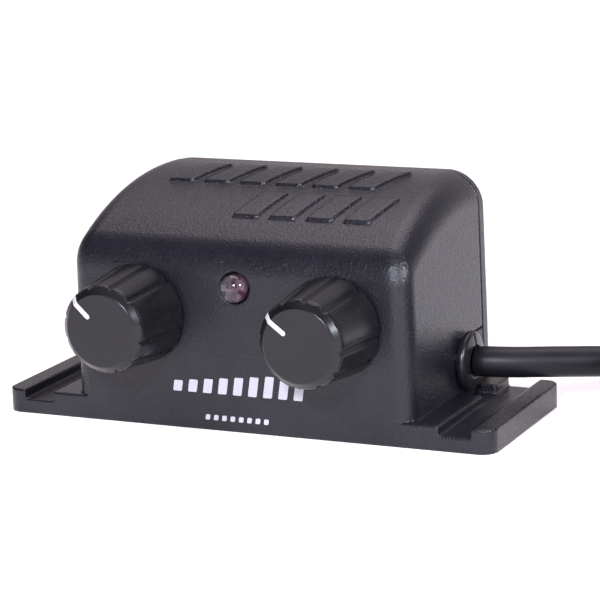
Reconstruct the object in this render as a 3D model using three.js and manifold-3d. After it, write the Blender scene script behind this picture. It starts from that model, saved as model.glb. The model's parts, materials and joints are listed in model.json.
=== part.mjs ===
// Two-knob vehicle control unit: moulded case with strap flanges, screwed back cover,
// two rotary potentiometers, indicator LED, circuit board and a cable to an inline connector.
// Millimetres, +Z up, +X to the right, -Y towards the knobs.
// The design frame has y = 0 at the front face; the origin is ORIGIN_DEPTH behind it, under the case.

import * as THREE from 'three';
import { mergeVertices } from 'three/addons/utils/BufferGeometryUtils.js';
import Module from 'manifold-3d';

const wasm = await Module();
wasm.setup();

// ---- driving dimensions ----

const GAP = 0.3;
const ORIGIN_DEPTH = 15.2;

const FLANGE_HALF = 43.95;
const FLANGE_DEPTH = 32.2;
const RIM_HEIGHT = 4.0;
const CHANNEL_FLOOR = 2.4;
const CHANNEL_OUTER = 40.3;
const CHANNEL_INNER = 34.8;
const FLANGE_CORNER = 2.5;
const GROMMET_NOTCH = { start: 19.4, end: 26.2 };

const BODY_HALF = 30.6;
const DRAFT = 0.0157;
const CASE_BACK = 31.7;
const COVER_FRONT = 32.0;
const COVER_BACK = 34.5;
const WALL = 2.0;
const TOP_RADIUS = 50.4;
const TOP_CENTRE = { y: 29.0, z: -11.5 };
const CORNER_FRONT = 3.7;
const CORNER_BACK = 6.1;
const FRONT_ROUND = 3.2;
const MIN_CORNER = 1.2;
const SEAM_STEP = 0.15;
const COVER_FOOT = 0.4;

const KNOB_X = 17.4;
const KNOB_Z = 19.0;
const KNOB_BACK = -0.6;
const KNOB_FRONT = -13.5;
const KNOB_BASE_R = 8.3;
const KNOB_TOP_R = 7.2;
const KNOB_FACE_R = 6.0;
const KNOB_BEVEL = 1.2;
const LEFT_REST = -46;
const RIGHT_REST = -53;

const LED_Z = 24.1;
const LED_R = 2.5;
const LED_RIM_R = 2.9;
const LED_LEG = { x: 1.27, half: 0.25 };

const GLAND = { y: 23.1, z: 8.75 };
const GLAND_R = 5.15;
const GLAND_FACE = 32.6;
const SLOT_HALF = 3.75;
const TAB_HALF = 3.45;
const CABLE_R = 2.55;

const SHAFT_R = 3.0;
const BUSHING_R = 3.9;
const POT_R = 8.0;

const BOARD_FRONT = 11.6;
const BOARD_BACK = 13.2;

const SCREWS = [
  { x: -24.3, z: 30.2 },
  { x: 24.3, z: 30.2 },
  { x: -15, z: 6.2 },
  { x: 15, z: 6.2 },
];
const BOSS_R = 3.1;
const BOSS_FRONT = 18;
const RIB_HALF = 1;
const PILOT_R = 1.6;
const PILOT_DEPTH = 10;

// Raised slanted bars on the curved top: extent along y, first x, number and lean of each row.
const BAR_ROWS = [
  { y0: 17.5, y1: 26.5, x0: -20, count: 6, lean: 3.2 },
  { y0: 7.5, y1: 14.5, x0: -3.4, count: 4, lean: 2.6 },
];
const BAR = { pitch: 6.6, width: 4.2, height: 0.55, root: 1.0 };

const COIL = { x: 94, y: 14, inner: 22.7, outer: 33.3, bottom: 0.9, top: 16.4 };

// ---- materials ----

const plastic = (color, roughness) =>
  new THREE.MeshStandardMaterial({ color, roughness, metalness: 0 });
const metal = (color, roughness) =>
  new THREE.MeshStandardMaterial({ color, roughness, metalness: 1 });

const MATERIALS = {
  case: () => plastic(0x2a2a2e, 0.55),
  cover: () => plastic(0x2b2a2c, 0.5),
  knob: () => plastic(0x242427, 0.35),
  pointer: () => plastic(0xf4f4f6, 0.5),
  lens: () => plastic(0xd8b9c0, 0.1),
  rubber: () => plastic(0x1c1c20, 0.45),
  cable: () => plastic(0x1b1b20, 0.4),
  board: () => plastic(0x1f5a35, 0.5),
  epoxy: () => plastic(0x161616, 0.5),
  wafer: () => plastic(0x6b4a2a, 0.7),
  sleeve: () => plastic(0x20304f, 0.4),
  nylon: () => plastic(0xd9d6cc, 0.5),
  header: () => plastic(0x2c6a3a, 0.5),
  steel: () => metal(0xb4b4b8, 0.35),
  zinc: () => metal(0x8f9094, 0.3),
};

// ---- solids ----

// Closed solid of a geometry, turned the right way out if its faces point inwards.
function toSolid(geometry) {
  const bare = geometry.index ? geometry.toNonIndexed() : geometry.clone();
  bare.deleteAttribute('normal');
  bare.deleteAttribute('uv');
  const merged = mergeVertices(bare, 1e-4);
  const vertProperties = new Float32Array(merged.attributes.position.array);
  const triVerts = new Uint32Array(merged.index.array);
  const solid = new wasm.Manifold(new wasm.Mesh({ numProp: 3, vertProperties, triVerts }));
  if (solid.volume() > 0) {
    return solid;
  }
  for (let i = 0; i < triVerts.length; i += 3) {
    [triVerts[i + 1], triVerts[i + 2]] = [triVerts[i + 2], triVerts[i + 1]];
  }
  return new wasm.Manifold(new wasm.Mesh({ numProp: 3, vertProperties, triVerts }));
}

function toGeometry(solid) {
  const { vertProperties, triVerts } = solid.getMesh();
  const geometry = new THREE.BufferGeometry();
  geometry.setAttribute('position', new THREE.BufferAttribute(new Float32Array(vertProperties), 3));
  geometry.setIndex(new THREE.BufferAttribute(new Uint32Array(triVerts), 1));
  return geometry;
}

const box = (x0, x1, y0, y1, z0, z1) => {
  const geometry = new THREE.BoxGeometry(x1 - x0, y1 - y0, z1 - z0);
  return toSolid(geometry.translate((x0 + x1) / 2, (y0 + y1) / 2, (z0 + z1) / 2));
};

// Solid of revolution about a line along Y through (x, z); the profile lists [radius, y].
function turnedY(profile, x, z, segments = 24) {
  const points = profile.map(([r, y]) => new THREE.Vector2(r, y));
  const geometry = new THREE.LatheGeometry(points, segments);
  return toSolid(geometry.translate(x, 0, z));
}

const cylinderY = (r, y0, y1, x, z, segments = 24) =>
  turnedY([[0, y0], [r, y0], [r, y1], [0, y1]], x, z, segments);

const ringY = (rIn, rOut, y0, y1, x, z, segments = 24) =>
  turnedY([[rIn, y0], [rOut, y0], [rOut, y1], [rIn, y1], [rIn, y0]], x, z, segments);

// Solid of revolution about a line along X through (y, z); the profile lists [radius, x].
function turnedX(profile, y, z, segments = 24) {
  const points = profile.map(([r, x]) => new THREE.Vector2(r, x));
  const geometry = new THREE.LatheGeometry(points, segments).rotateZ(-Math.PI / 2);
  return toSolid(geometry.translate(0, y, z));
}

// Closed skin over a row of equal-length outlines, with flat ends.
function loft(outlines) {
  const count = outlines[0].length;
  const positions = outlines.flat().flatMap((p) => [p.x, p.y, p.z]);
  const index = [];
  for (let row = 0; row + 1 < outlines.length; row++) {
    for (let i = 0; i < count; i++) {
      const j = (i + 1) % count;
      const a = row * count + i;
      const b = row * count + j;
      index.push(a, b, b + count, a, b + count, a + count);
    }
  }
  const flat = outlines[0].map((p) => new THREE.Vector2(p.x, p.z));
  const last = (outlines.length - 1) * count;
  for (const [a, b, c] of THREE.ShapeUtils.triangulateShape(flat, [])) {
    index.push(a, c, b);
    index.push(last + a, last + b, last + c);
  }
  const geometry = new THREE.BufferGeometry();
  geometry.setAttribute('position', new THREE.Float32BufferAttribute(positions, 3));
  geometry.setIndex(index);
  return toSolid(geometry);
}

// ---- case outline ----

const topHeight = (y) =>
  TOP_CENTRE.z + Math.sqrt(TOP_RADIUS ** 2 - (y - TOP_CENTRE.y) ** 2);

// Axis of the rounded edge between the front face and the curved top, and where it meets the top.
const EDGE_Z = TOP_CENTRE.z
  + Math.sqrt((TOP_RADIUS - FRONT_ROUND) ** 2 - (TOP_CENTRE.y - FRONT_ROUND) ** 2);
const EDGE_END = TOP_CENTRE.y
  - (TOP_CENTRE.y - FRONT_ROUND) * TOP_RADIUS / (TOP_RADIUS - FRONT_ROUND);

// Outline of the body at depth y, moved in by inset, with its base at height base.
// The front edges are rounded on the outer skin only.
function bodyOutline(y, inset, base, bulge = 0) {
  const fall = Math.sqrt(FRONT_ROUND ** 2 - Math.max(FRONT_ROUND - y, 0) ** 2);
  const rounded = inset === 0 && y < FRONT_ROUND;
  const shrink = inset - bulge + (rounded ? FRONT_ROUND - fall : 0);
  const height = inset === 0 && y < EDGE_END ? EDGE_Z + fall : topHeight(y);
  const top = height - inset + bulge;
  const blend = Math.min(y / COVER_BACK, 1);
  const corner = Math.max(CORNER_FRONT + (CORNER_BACK - CORNER_FRONT) * blend - inset, MIN_CORNER);
  const half = (z) => BODY_HALF - DRAFT * z - shrink;
  const steps = 8;
  const points = [];
  for (const side of [1, -1]) {
    const centre = { x: half(top) - corner, z: top - corner };
    const arc = [];
    for (let i = 0; i <= steps; i++) {
      const angle = (i / steps) * (Math.PI / 2);
      arc.push(new THREE.Vector3(
        side * (centre.x + corner * Math.cos(angle)), y, centre.z + corner * Math.sin(angle)));
    }
    const foot = new THREE.Vector3(side * half(base), y, base);
    points.push(...(side > 0 ? [foot, ...arc] : [...arc.reverse(), foot]));
  }
  return points;
}

function bodySolid(y0, y1, inset, base, bulge = 0) {
  const stops = [0, 0.25, 0.7, 1.3, 2.1, FRONT_ROUND, 5.5, 8, 12, 16, 20, 24, 28];
  const stations = [y0, ...stops.filter((y) => y > y0 && y < y1), y1];
  return loft(stations.map((y) => bodyOutline(y, inset, base, bulge)));
}

// ---- front case ----

function flangePlate() {
  const shape = new THREE.Shape();
  const r = FLANGE_CORNER;
  shape.moveTo(-FLANGE_HALF + r, 0);
  shape.lineTo(FLANGE_HALF - r, 0);
  shape.absarc(FLANGE_HALF - r, r, r, -Math.PI / 2, 0);
  shape.lineTo(FLANGE_HALF, FLANGE_DEPTH - r);
  shape.absarc(FLANGE_HALF - r, FLANGE_DEPTH - r, r, 0, Math.PI / 2);
  shape.lineTo(-FLANGE_HALF + r, FLANGE_DEPTH);
  shape.absarc(-FLANGE_HALF + r, FLANGE_DEPTH - r, r, Math.PI / 2, Math.PI);
  shape.lineTo(-FLANGE_HALF, r);
  shape.absarc(-FLANGE_HALF + r, r, r, Math.PI, Math.PI * 1.5);
  const extrude = { depth: RIM_HEIGHT, bevelEnabled: false, curveSegments: 6 };
  let plate = toSolid(new THREE.ExtrudeGeometry(shape, extrude));
  for (const side of [-1, 1]) {
    const [x0, x1] = [side * CHANNEL_INNER, side * CHANNEL_OUTER].sort((a, b) => a - b);
    plate = plate.subtract(box(x0, x1, -1, FLANGE_DEPTH + 1, CHANNEL_FLOOR, RIM_HEIGHT + 1));
  }
  // Clearance in the right-hand ledge for the cable grommet, with a short block left behind it.
  const { start, end } = GROMMET_NOTCH;
  const notch = box(BODY_HALF + 0.1, CHANNEL_INNER + 1, start, end, CHANNEL_FLOOR, RIM_HEIGHT + 1);
  // Room for the back cover between the two flanges.
  const coverHalf = BODY_HALF + GAP;
  const coverRoom = box(-coverHalf, coverHalf, CASE_BACK, FLANGE_DEPTH + 1, -1, RIM_HEIGHT + 1);
  return plate.subtract(notch).subtract(coverRoom);
}

function topBars() {
  const skinFoot = 20;
  const raised = bodySolid(FRONT_ROUND, CASE_BACK - 0.4, 0, skinFoot, BAR.height)
    .subtract(bodySolid(WALL, CASE_BACK + 1, BAR.root, skinFoot - 1));
  let bars = null;
  for (const row of BAR_ROWS) {
    for (let i = 0; i < row.count; i++) {
      const x = row.x0 + i * BAR.pitch;
      const shape = new THREE.Shape([
        new THREE.Vector2(x, row.y0),
        new THREE.Vector2(x + BAR.width, row.y0),
        new THREE.Vector2(x + BAR.width + row.lean, row.y1),
        new THREE.Vector2(x + row.lean, row.y1),
      ]);
      const prism = new THREE.ExtrudeGeometry(shape, { depth: 30, bevelEnabled: false });
      const solid = toSolid(prism.translate(0, 0, skinFoot));
      bars = bars ? bars.add(solid) : solid;
    }
  }
  return raised.intersect(bars);
}

// Opening in the right wall, round in front and open to the back, that the grommet slides into.
function wallSlot() {
  const [x0, x1] = [BODY_HALF - 3.5, BODY_HALF + 1.5];
  const round = turnedX([[0, x0], [SLOT_HALF, x0], [SLOT_HALF, x1], [0, x1]], GLAND.y, GLAND.z);
  const run = box(x0, x1, GLAND.y, CASE_BACK + 1, GLAND.z - SLOT_HALF, GLAND.z + SLOT_HALF);
  return round.add(run);
}

// Web that ties a screw boss to the nearest side wall, or to the floor.
function bossRib({ x, z }) {
  if (z < BODY_HALF / 2) {
    return box(x - RIB_HALF, x + RIB_HALF, BOSS_FRONT, CASE_BACK, 1, z);
  }
  const wall = Math.sign(x) * (BODY_HALF - WALL + 0.4);
  const [x0, x1] = [Math.min(x, wall), Math.max(x, wall)];
  return box(x0, x1, BOSS_FRONT, CASE_BACK, z - RIB_HALF, z + RIB_HALF);
}

function frontCase() {
  let shell = bodySolid(0, CASE_BACK, 0, 0).add(flangePlate());
  shell = shell.subtract(bodySolid(WALL, CASE_BACK + 2, WALL, CHANNEL_FLOOR));
  for (const screw of SCREWS) {
    shell = shell.add(cylinderY(BOSS_R, BOSS_FRONT, CASE_BACK, screw.x, screw.z, 16));
    shell = shell.add(bossRib(screw));
  }
  for (const { x, z } of SCREWS) {
    shell = shell.subtract(cylinderY(PILOT_R, CASE_BACK - PILOT_DEPTH, CASE_BACK + 1, x, z, 12));
  }
  for (const x of [-KNOB_X, KNOB_X]) {
    shell = shell.subtract(cylinderY(BUSHING_R + GAP, -1, WALL + 1, x, KNOB_Z));
  }
  shell = shell.subtract(cylinderY(LED_R + GAP, -1, WALL + 1, 0, LED_Z));
  return shell.subtract(wallSlot()).add(topBars());
}

// ---- back cover ----

function backCover() {
  const plate = loft([COVER_FRONT, COVER_BACK].map((y) => bodyOutline(y, SEAM_STEP, COVER_FOOT)));
  const tab = box(28.4, 30.2, 27.7, COVER_FRONT + 0.5, GLAND.z - TAB_HALF, GLAND.z + TAB_HALF);
  let cover = plate.add(tab);
  for (const { x, z } of SCREWS) {
    cover = cover.subtract(cylinderY(PILOT_R, COVER_FRONT - 1, COVER_BACK + 1, x, z, 12));
  }
  return cover;
}

function coverScrew({ x, z }) {
  const seat = COVER_BACK + GAP;
  const face = seat + 1.9;
  const tip = CASE_BACK - 8;
  const blank = turnedY([
    [0, tip], [0.5, tip], [1.25, tip + 1.5], [1.25, seat], [2.7, seat], [2.7, seat + 1.0],
    [1.9, face], [0, face],
  ], x, z, 14);
  const arm = { long: 1.5, half: 0.3, depth: 1.1 };
  const [y0, y1] = [face - arm.depth, face + 1];
  const across = box(x - arm.long, x + arm.long, y0, y1, z - arm.half, z + arm.half);
  const upright = box(x - arm.half, x + arm.half, y0, y1, z - arm.long, z + arm.long);
  return blank.subtract(across.add(upright));
}

// ---- cable grommet ----

function cableGrommet() {
  const bore = CABLE_R + GAP;
  return turnedX([
    [bore, 26.6], [4.7, 26.6], [4.7, 28.0], [3.45, 28.0], [3.45, 30.8], [GLAND_R, 30.8],
    [GLAND_R, 31.8], [4.5, GLAND_FACE], [3.75, GLAND_FACE], [3.6, 31.3],
    [bore, 31.3], [bore, 26.6],
  ], GLAND.y, GLAND.z);
}

// ---- potentiometers ----

function potHousing(x) {
  const bore = SHAFT_R + GAP;
  const plateFront = WALL + GAP;
  return turnedY([
    [bore, -4.2], [BUSHING_R - 0.3, -4.2], [BUSHING_R, -3.9], [BUSHING_R, plateFront],
    [POT_R, plateFront], [POT_R, 3.6], [bore, 3.6], [bore, -4.2],
  ], x, KNOB_Z);
}

function potTrack(x) {
  const wafer = ringY(SHAFT_R + GAP, POT_R, 3.9, 5.0, x, KNOB_Z);
  const terminals = box(x - 6, x + 6, 3.9, 5.0, KNOB_Z - 11.5, KNOB_Z - 5);
  return wafer.add(terminals);
}

function potCan(x) {
  return turnedY([
    [0, 10.4], [POT_R - 0.5, 10.4], [POT_R, 9.9], [POT_R, 5.3], [POT_R - 0.6, 5.3],
    [POT_R - 0.6, 9.6], [0, 9.6],
  ], x, KNOB_Z);
}

const potWiper = (x) =>
  ringY(SHAFT_R + GAP, 6.6, 6.0, 7.6, x, KNOB_Z, 20)
    .subtract(box(x - 7, x + 7, 5, 9, KNOB_Z - 8, KNOB_Z - 4.2));

function potShaft(x) {
  const rod = turnedY([
    [0, -11.4], [SHAFT_R - 0.4, -11.4], [SHAFT_R, -11], [SHAFT_R, 9.2], [0, 9.2],
  ], x, KNOB_Z, 20);
  const flat = box(x - 4, x + 4, -12, -3, KNOB_Z - 4, KNOB_Z - 1.6);
  return rod.subtract(flat);
}

const potWasher = (x) => ringY(BUSHING_R + GAP, 5.6, -0.9, -0.3, x, KNOB_Z, 20);

function potNut(x) {
  const hex = cylinderY(5.77, -3.2, -1.2, x, KNOB_Z, 6);
  return hex.subtract(cylinderY(BUSHING_R + GAP, -4, 0, x, KNOB_Z, 20));
}

// ---- knobs ----

// Grooves of the knob, in degrees from the pointer: three plain panels of 60 degrees,
// with a pair of 30 degree panels between each two of them.
const KNOB_GROOVES = [0, 120, 240].flatMap((start) => [30, 60, 90].map((step) => start + step));

const turnAboutY = (solid, degrees, x) =>
  solid.translate([-x, 0, -KNOB_Z]).rotate([0, degrees, 0]).translate([x, 0, KNOB_Z]);

function knobBlank(x) {
  const shoulder = KNOB_FRONT + KNOB_BEVEL;
  return turnedY([
    [0, KNOB_FRONT], [KNOB_FACE_R, KNOB_FRONT], [6.75, KNOB_FRONT + 0.35], [KNOB_TOP_R, shoulder],
    [KNOB_BASE_R, KNOB_BACK], [6.6, KNOB_BACK], [6.5, -5.2], [4.6, -5.2], [4.6, -4.6],
    [SHAFT_R + GAP, -4.6], [SHAFT_R + GAP, -11.8], [0, -11.8],
  ], x, KNOB_Z, 36);
}

// Strip along the pointer line: from inner to past the rim, over the bevel and back to depth back.
function pointerPrism(x, { half, inner, back, depth }) {
  // The shape's x is the height above the axis and its y is the depth along the knob.
  const shape = new THREE.Shape([
    new THREE.Vector2(inner, KNOB_FRONT - 1),
    new THREE.Vector2(10, KNOB_FRONT - 1),
    new THREE.Vector2(10, back),
    new THREE.Vector2(KNOB_TOP_R - depth, back),
    new THREE.Vector2(KNOB_TOP_R - depth, KNOB_FRONT + KNOB_BEVEL),
    new THREE.Vector2(KNOB_FACE_R - depth * 0.4, KNOB_FRONT + depth),
    new THREE.Vector2(inner, KNOB_FRONT + depth),
  ]);
  const prism = new THREE.ExtrudeGeometry(shape, { depth: 2 * half, bevelEnabled: false });
  prism.translate(0, 0, -half);
  prism.applyMatrix4(new THREE.Matrix4().makeBasis(
    new THREE.Vector3(0, 0, 1), new THREE.Vector3(0, 1, 0), new THREE.Vector3(-1, 0, 0)));
  return toSolid(prism.translate(x, 0, KNOB_Z));
}

const POINTER = { half: 0.45, inner: 3.2, back: -9.5, depth: 0.5 };
const POINTER_SEAT = { half: 0.75, inner: 2.9, back: -9.2, depth: 0.8 };

function knobBody(x, rest) {
  let knob = knobBlank(x);
  for (const angle of KNOB_GROOVES) {
    const half = 0.45;
    const depth = 0.4;
    const groove = new THREE.Shape([
      new THREE.Vector2(-half * 2, depth * 2),
      new THREE.Vector2(0, 0),
      new THREE.Vector2(half * 2, depth * 2),
    ]);
    const cutter = new THREE.ExtrudeGeometry(groove, { depth: 18, bevelEnabled: false });
    cutter.rotateX(Math.PI / 2);
    cutter.translate(0, 1, KNOB_TOP_R - depth);
    cutter.rotateX(-Math.atan2(KNOB_BASE_R - KNOB_TOP_R, KNOB_BACK - KNOB_FRONT - KNOB_BEVEL));
    const solid = toSolid(cutter.translate(x, 0, KNOB_Z));
    knob = knob.subtract(turnAboutY(solid, angle, x));
  }
  knob = knob.subtract(pointerPrism(x, POINTER_SEAT));
  return turnAboutY(knob, rest, x);
}

function knobPointer(x, rest) {
  const strip = pointerPrism(x, POINTER).intersect(knobBlank(x));
  return turnAboutY(strip, rest, x);
}

// ---- LED and circuit board ----

function statusLed() {
  const dome = [];
  const steps = 5;
  const domeBase = -0.2;
  const domeRise = 1.9;
  for (let i = 0; i <= steps; i++) {
    const angle = (i / steps) * (Math.PI / 2);
    dome.push([LED_R * Math.sin(angle), domeBase - domeRise * Math.cos(angle)]);
  }
  const rim = [[LED_R, WALL + GAP], [LED_RIM_R, WALL + GAP], [LED_RIM_R, WALL + 1.3], [0, WALL + 1.3]];
  let led = turnedY([...dome, ...rim], 0, LED_Z, 20);
  const { half } = LED_LEG;
  for (const x of [-LED_LEG.x, LED_LEG.x]) {
    led = led.add(box(x - half, x + half, 3, BOARD_FRONT - GAP, LED_Z - half, LED_Z + half));
  }
  return led;
}

function circuitBoard() {
  return box(-26.5, 26.5, BOARD_FRONT, BOARD_BACK, 4.5, 31);
}

function amplifierChip() {
  const back = BOARD_BACK + GAP;
  let chip = box(-15, -5, back + 0.8, back + 4.2, 17, 23.4);
  for (let i = 0; i < 4; i++) {
    const x = -14.1 + i * 2.54;
    chip = chip.add(box(x, x + 0.6, back, back + 2.6, 16.3, 17.2));
    chip = chip.add(box(x, x + 0.6, back, back + 2.6, 23.2, 24.1));
  }
  return chip;
}

function voltageRegulator() {
  const back = BOARD_BACK + GAP;
  const body = box(-3, 7.2, back, back + 4.5, 20, 29);
  const lug = box(-3, 7.2, back, back + 1.3, 14.2, 20.2);
  return body.add(lug);
}

const capacitor = (x, z, r, length) =>
  turnedY([
    [0, BOARD_BACK + GAP], [r, BOARD_BACK + GAP], [r, BOARD_BACK + GAP + length - 0.4],
    [r - 0.4, BOARD_BACK + GAP + length], [0, BOARD_BACK + GAP + length],
  ], x, z, 24);

function cableHeader() {
  const back = BOARD_BACK + GAP;
  let block = box(10, 20.5, back, back + 7.5, 12.5, 18.5);
  for (let i = 0; i < 4; i++) {
    block = block.subtract(box(10.9 + i * 2.4, 12.3 + i * 2.4, back + 4, back + 9, 13.6, 17.4));
  }
  return block;
}

// ---- cable ----

// Points on the axis of the cable from the grommet to the floor beside the coil.
const CABLE_ROUTE = [
  [33.0, 23.1, 8.75], [36.0, 23.75, 8.7], [40.0, 25.2, 8.6], [44.5, 27.5, 8.45], [51.3, 31.0, 8.15],
  [56.5, 34.1, 7.3], [61.5, 37.2, 6.1], [66.0, 40.0, 4.9], [70.5, 42.3, 4.0],
];

// Points from the top of the coil into the connector's boot.
const TAIL_ROUTE = [
  [113.6, 24.4, 19.5], [114.9, 21.4, 20.8], [115.4, 18.6, 22.1], [115.5, 15.5, 22.8],
];

const CONNECTOR = { x: 115.5, z: 22.9, boot: 14.7 };

function tube(points, radius, sides, steps) {
  const curve = new THREE.CatmullRomCurve3(points.map((p) => new THREE.Vector3(...p)));
  const section = new THREE.Shape();
  for (let i = 0; i < sides; i++) {
    const angle = (i / sides) * 2 * Math.PI;
    const corner = [radius * Math.cos(angle), radius * Math.sin(angle)];
    if (i === 0) {
      section.moveTo(...corner);
    } else {
      section.lineTo(...corner);
    }
  }
  section.closePath();
  return toSolid(new THREE.ExtrudeGeometry(section, { steps, extrudePath: curve, bevelEnabled: false }));
}

const INNER_ROUTE = [
  [32.1, 23.1, 8.75], [28.0, 23.1, 8.75], [24.5, 23.2, 9.3], [22.5, 23.4, 10.4],
];

// Four insulated cores from the end of the jacket to the header, nested so that none cross.
function coreWire(i) {
  const slot = 11.6 + i * 2.4;
  const spread = (i - 1.5) * 1.15;
  const route = [
    [22.0 + 0.48 * spread, 23.5, 10.75 + 0.87 * spread], [slot + 1.2, 23.2, 11.3 + i * 0.95],
    [slot, 22.2, 14.3], [slot, 19.8, 15.5], [slot, 17.9, 15.5],
  ];
  return tube(route, 0.42, 6, 10);
}

function coilRing() {
  const { x, y, inner, outer, bottom, top } = COIL;
  const edge = 2.5;
  const profile = [
    [inner + edge, bottom], [outer - edge, bottom], [outer, bottom + edge], [outer, top - edge],
    [outer - edge, top], [inner + edge, top], [inner, top - edge], [inner, bottom + edge],
    [inner + edge, bottom],
  ];
  const points = profile.map(([r, z]) => new THREE.Vector2(r, z));
  const geometry = new THREE.LatheGeometry(points, 36).rotateX(Math.PI / 2);
  return toSolid(geometry.translate(x, y, 0));
}

function coilTie() {
  const { x, y, inner, outer, bottom, top } = COIL;
  const thick = 0.6;
  const half = 3;
  const mid = y - (inner + outer) / 2;
  const reach = (outer - inner) / 2 + GAP + 0.7;
  const [y0, y1] = [mid - reach, mid + reach];
  const [z0, z1] = [bottom - GAP, top + GAP];
  const outside = box(x - half, x + half, y0 - thick, y1 + thick, z0 - thick, z1 + thick);
  return outside.subtract(box(x - half - 1, x + half + 1, y0, y1, z0, z1));
}

// Solid of revolution along -Y from the connector's boot; the profile lists [radius, distance].
const alongConnector = (profile, segments = 20) => {
  const points = profile.map(([r, d]) => [r, CONNECTOR.boot - d]);
  return turnedY(points, CONNECTOR.x, CONNECTOR.z, segments);
};

const connectorBoot = () =>
  alongConnector([[0, 0], [3.1, 0], [3.3, 0.6], [4.2, 11], [4.2, 12.4], [0, 12.4]]);

const connectorShell = () => alongConnector([
  [0, 12.7], [4.6, 12.7], [5.4, 13.5], [5.4, 34], [4.5, 34], [4.5, 25], [0, 25],
]);

const connectorRing = () =>
  alongConnector([[5.7, 20], [6.2, 20.4], [6.2, 29.6], [5.7, 30], [5.7, 20]]);

function connectorInsert() {
  let insert = alongConnector([[0, 25.3], [4.2, 25.3], [4.2, 28], [0, 28]]);
  for (let i = 0; i < 5; i++) {
    const angle = (i / 5) * 2 * Math.PI;
    const x = CONNECTOR.x + 2.6 * Math.cos(angle);
    const z = CONNECTOR.z + 2.6 * Math.sin(angle);
    insert = insert.add(cylinderY(0.5, CONNECTOR.boot - 33, CONNECTOR.boot - 27.5, x, z, 8));
  }
  return insert;
}

// ---- assembly ----

const group = new THREE.Group();
group.position.y = -ORIGIN_DEPTH;

function place(name, solid, material) {
  const mesh = new THREE.Mesh(toGeometry(solid), MATERIALS[material]());
  mesh.name = name;
  group.add(mesh);
}

place('front_case', frontCase(), 'case');
place('back_cover', backCover(), 'cover');
SCREWS.forEach((screw, i) => place(`cover_screw_${i + 1}`, coverScrew(screw), 'zinc'));
place('cable_grommet', cableGrommet(), 'rubber');

for (const [side, x, rest] of [['left', -KNOB_X, LEFT_REST], ['right', KNOB_X, RIGHT_REST]]) {
  place(`${side}_pot_housing`, potHousing(x), 'zinc');
  place(`${side}_pot_track`, potTrack(x), 'wafer');
  place(`${side}_pot_can`, potCan(x), 'zinc');
  place(`${side}_pot_wiper`, potWiper(x), 'steel');
  place(`${side}_pot_shaft`, turnAboutY(potShaft(x), rest, x), 'steel');
  place(`${side}_pot_washer`, potWasher(x), 'zinc');
  place(`${side}_pot_nut`, potNut(x), 'zinc');
  place(`${side}_knob`, knobBody(x, rest), 'knob');
  place(`${side}_knob_pointer`, knobPointer(x, rest), 'pointer');
}

place('status_led', statusLed(), 'lens');
place('circuit_board', circuitBoard(), 'board');
place('amplifier_chip', amplifierChip(), 'epoxy');
place('voltage_regulator', voltageRegulator(), 'epoxy');
place('filter_capacitor', capacitor(-21, 15, 4, 12), 'sleeve');
place('output_capacitor', capacitor(-20.8, 25, 3.15, 11), 'sleeve');
place('cable_header', cableHeader(), 'header');
place('cable_end', tube(INNER_ROUTE, CABLE_R, 12, 5), 'cable');
for (let i = 0; i < 4; i++) {
  place(`core_wire_${i + 1}`, coreWire(i), i % 2 ? 'sleeve' : 'epoxy');
}

place('cable_lead', tube(CABLE_ROUTE, CABLE_R, 12, 9), 'cable');
place('cable_coil', coilRing(), 'cable');
place('coil_tie', coilTie(), 'nylon');
place('cable_tail', tube(TAIL_ROUTE, CABLE_R, 12, 4), 'cable');
place('connector_boot', connectorBoot(), 'rubber');
place('connector_shell', connectorShell(), 'steel');
place('connector_ring', connectorRing(), 'zinc');
place('connector_insert', connectorInsert(), 'epoxy');

export default group;
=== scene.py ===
"""Two-knob vehicle control unit: fine surfaces, materials, light and camera round the frame."""
import json
import math

import bpy
import numpy as np
from mathutils import Matrix, Vector


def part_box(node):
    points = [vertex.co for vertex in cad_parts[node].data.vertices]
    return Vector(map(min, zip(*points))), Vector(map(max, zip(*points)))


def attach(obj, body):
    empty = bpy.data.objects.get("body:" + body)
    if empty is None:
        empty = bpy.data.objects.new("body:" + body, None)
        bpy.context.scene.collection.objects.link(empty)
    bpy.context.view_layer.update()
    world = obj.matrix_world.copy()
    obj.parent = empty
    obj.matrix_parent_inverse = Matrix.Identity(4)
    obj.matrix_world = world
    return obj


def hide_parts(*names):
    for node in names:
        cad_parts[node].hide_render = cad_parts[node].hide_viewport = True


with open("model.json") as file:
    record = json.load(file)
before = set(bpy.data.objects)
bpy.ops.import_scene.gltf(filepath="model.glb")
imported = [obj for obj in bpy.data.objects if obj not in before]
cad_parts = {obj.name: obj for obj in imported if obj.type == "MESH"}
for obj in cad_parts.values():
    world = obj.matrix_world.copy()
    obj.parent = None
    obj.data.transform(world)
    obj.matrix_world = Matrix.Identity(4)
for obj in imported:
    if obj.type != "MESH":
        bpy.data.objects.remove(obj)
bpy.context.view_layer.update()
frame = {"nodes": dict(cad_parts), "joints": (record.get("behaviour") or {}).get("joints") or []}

MM = 0.001

# ---- the frame's own places ----

FRONT_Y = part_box("front_case")[0].y
JOINTS = {joint["child"]: joint for joint in frame["joints"]}
ORIGIN = np.array([0.0, FRONT_Y, 0.0])

# ---- camera ----

CAMERA_PLACE = (0.1847, FRONT_Y - 0.3665, 0.1171)
CAMERA_TURN, CAMERA_RISE, CAMERA_ROLL = 25.27, 13.08, 2.09
FOCAL_LENGTH, SENSOR_WIDTH = 156.88, 36


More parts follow.
